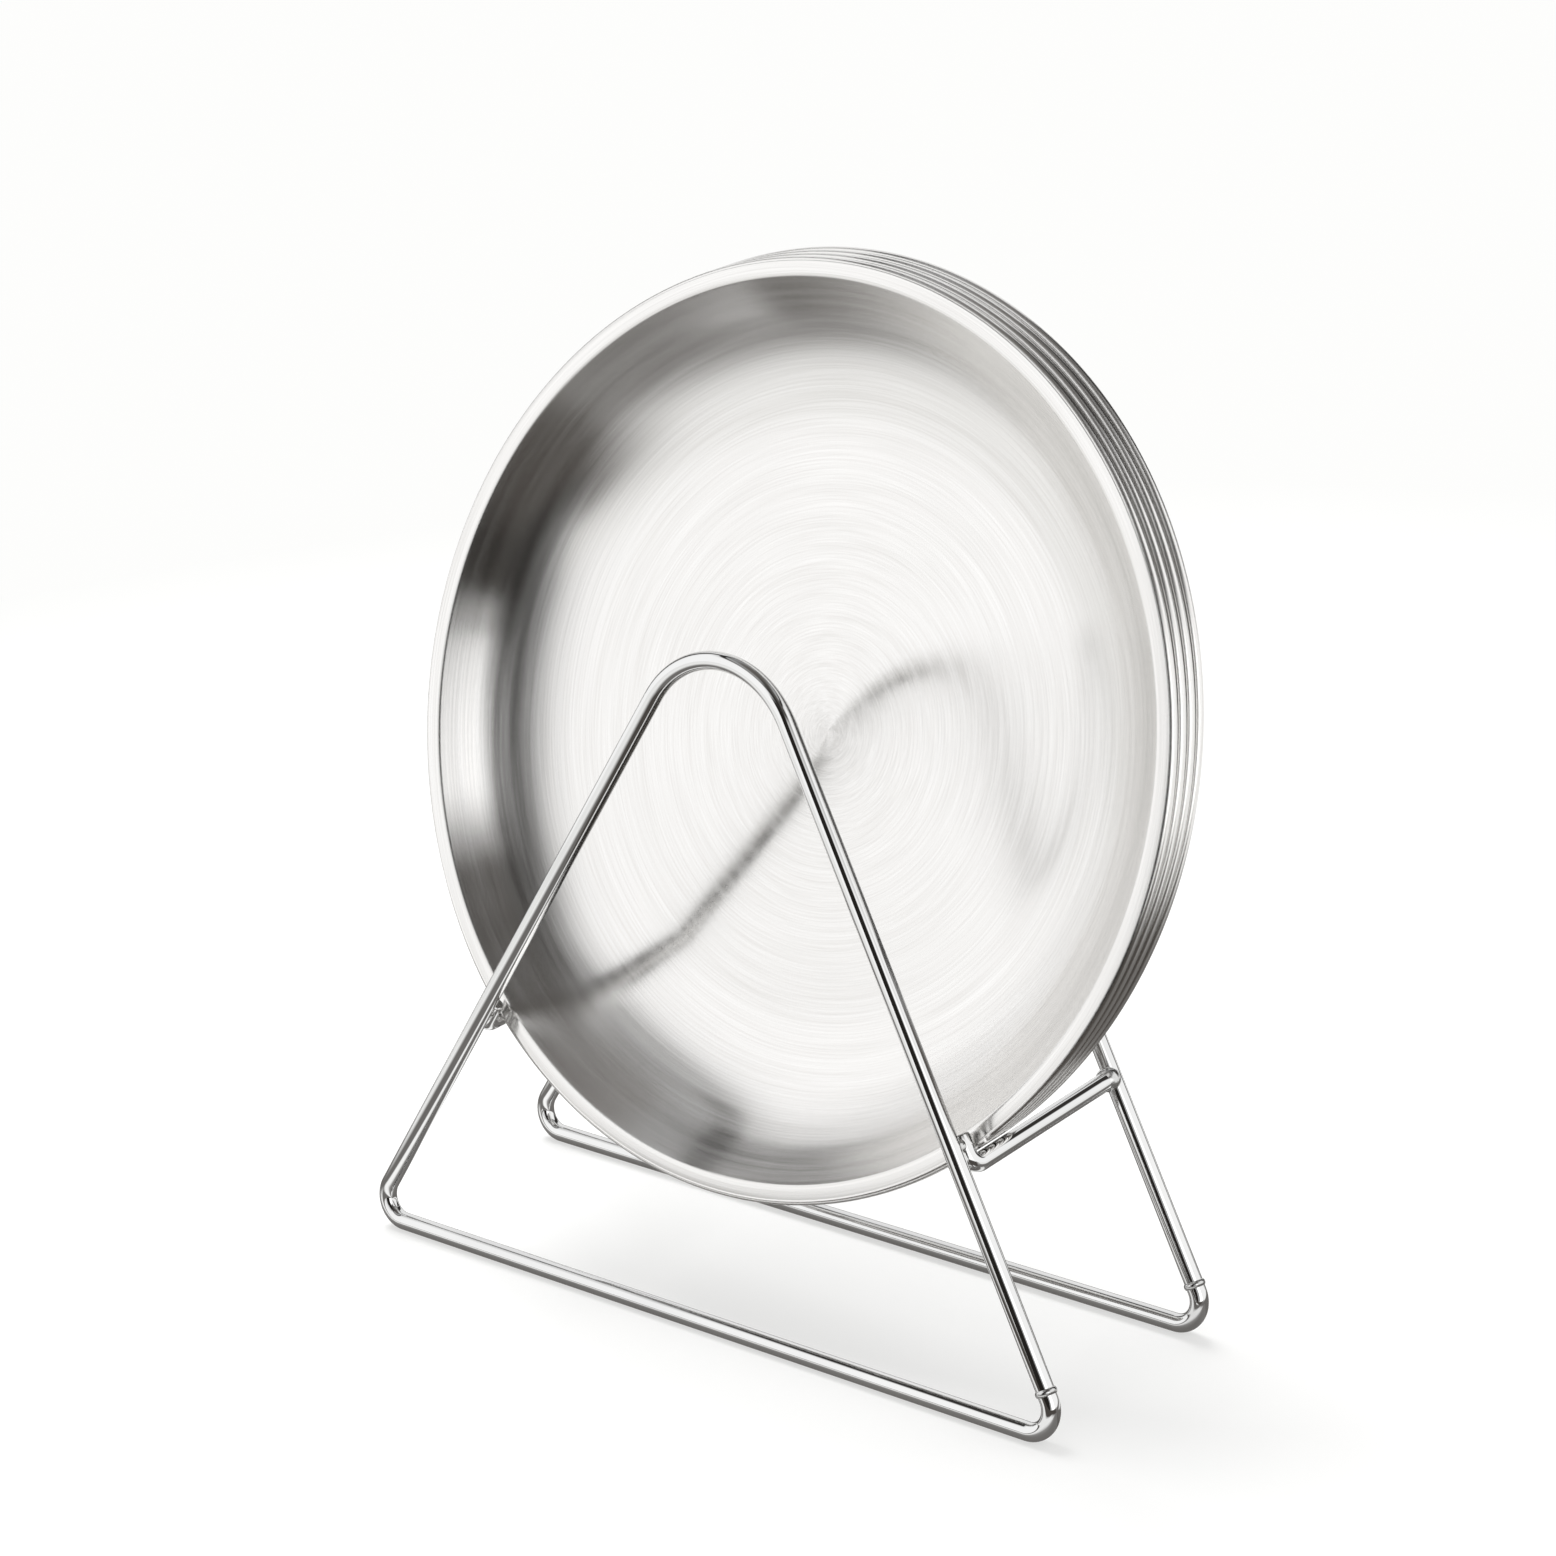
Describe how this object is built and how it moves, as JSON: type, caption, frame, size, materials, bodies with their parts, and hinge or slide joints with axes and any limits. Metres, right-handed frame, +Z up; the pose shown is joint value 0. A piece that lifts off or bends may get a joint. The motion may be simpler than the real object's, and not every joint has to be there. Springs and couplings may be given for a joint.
{
  "type": "dish set in a wire rack",
  "caption": "Shallow round steel dishes nested in a leaning stack, held in a chromed bent-wire rack of triangular loops joined by side rails; the stack lifts out and each dish turns in place",
  "frame": {"origin": "on the floor under the middle of the whole object's box", "axes": "+X along the base wires, +Y from the front of the rack to the back, +Z up; the open side of the dishes faces -Y and up"},
  "size_m": [0.2, 0.0894, 0.2193],
  "materials": {
    "chrome_wire": "bright chrome plate on drawn round steel wire",
    "plated_weld": "weld metal plated over with the wire, a little duller than it",
    "satin_steel": "pressed stainless sheet, spun to a satin finish in fine rings round the middle"
  },
  "bodies": {
    "rack": {"front_loop": "chrome_wire", "rear_loop": "chrome_wire", "left_rail": "chrome_wire", "right_rail": "chrome_wire", "rail_welds": "plated_weld", "loop_welds": "plated_weld"},
    "dish_4": {"dish_4": "satin_steel"},
    "dish_3": {"dish_3": "satin_steel"},
    "dish_2": {"dish_2": "satin_steel"},
    "dish_1": {"dish_1": "satin_steel"}
  },
  "joints": [
    {"name": "stack_lift", "type": "slide", "parent": "rack", "child": "dish_4", "axis": [0, 0.309, 0.9511], "range_m": [0, 0.15]},
    {"name": "dish_3_turn", "type": "hinge", "parent": "dish_4", "child": "dish_3", "pos_m": [0, 0.00155, 0.12444], "axis": [0, -0.9511, 0.309], "continuous": true},
    {"name": "dish_2_turn", "type": "hinge", "parent": "dish_4", "child": "dish_2", "pos_m": [0, -0.00155, 0.12444], "axis": [0, -0.9511, 0.309], "continuous": true},
    {"name": "dish_1_turn", "type": "hinge", "parent": "dish_4", "child": "dish_1", "pos_m": [0, -0.00465, 0.12444], "axis": [0, -0.9511, 0.309], "continuous": true}
  ]
}
